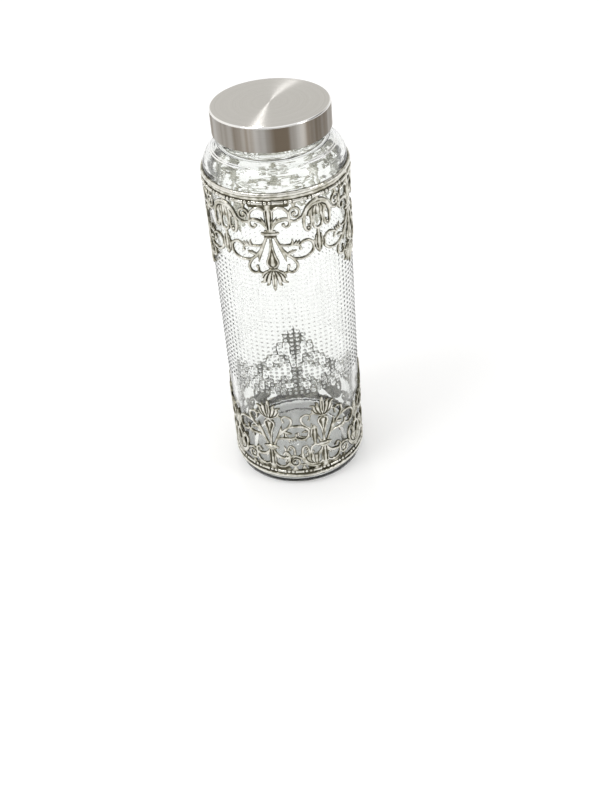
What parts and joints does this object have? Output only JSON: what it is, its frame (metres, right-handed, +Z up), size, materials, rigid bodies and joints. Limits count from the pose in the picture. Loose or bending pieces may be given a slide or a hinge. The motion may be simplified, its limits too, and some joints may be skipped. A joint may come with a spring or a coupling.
{
  "type": "glass bottle with filigree bands",
  "caption": "Tall clear glass bottle with an embossed dot pattern, a steel screw cap and pierced silver filigree bands at shoulder and foot.",
  "frame": {"origin": "centre of the foot, at the height of the surface that the bottle stands on", "axes": "+Z up along the bottle's axis; -Y towards the side that the picture shows"},
  "size_m": [0.0784, 0.0784, 0.2245],
  "materials": {
    "glass": "clear pressed soda-lime glass, polished, with small raised dots",
    "silver": "silver plate, bright on the crests and darkened in the recesses",
    "steel": "spun stainless steel, brushed in circles on the top and side",
    "liner_plastic": "moulded white polypropylene",
    "seal_rubber": "soft translucent silicone"
  },
  "bodies": {
    "bottle": {"glass_bottle": "glass", "upper_rim_wire": "silver", "upper_filigree": "silver", "lower_rim_wire": "silver", "lower_filigree": "silver"},
    "seal": {"cap_seal": "seal_rubber"},
    "cap": {"cap_shell": "steel", "cap_liner": "liner_plastic"}
  },
  "joints": [
    {"name": "cap_lift", "type": "slide", "parent": "bottle", "child": "seal", "axis": [0, 0, 1], "range_m": [0, 0.0106]},
    {"name": "cap_turn", "type": "hinge", "parent": "seal", "child": "cap", "pos_m": [0, 0, 0.2112], "axis": [0, 0, 1], "range_deg": [0, 900]}
  ],
  "couplings": [
    {"joint": "cap_lift", "follows": "cap_turn", "m_per_rad": 0.00066845}
  ]
}
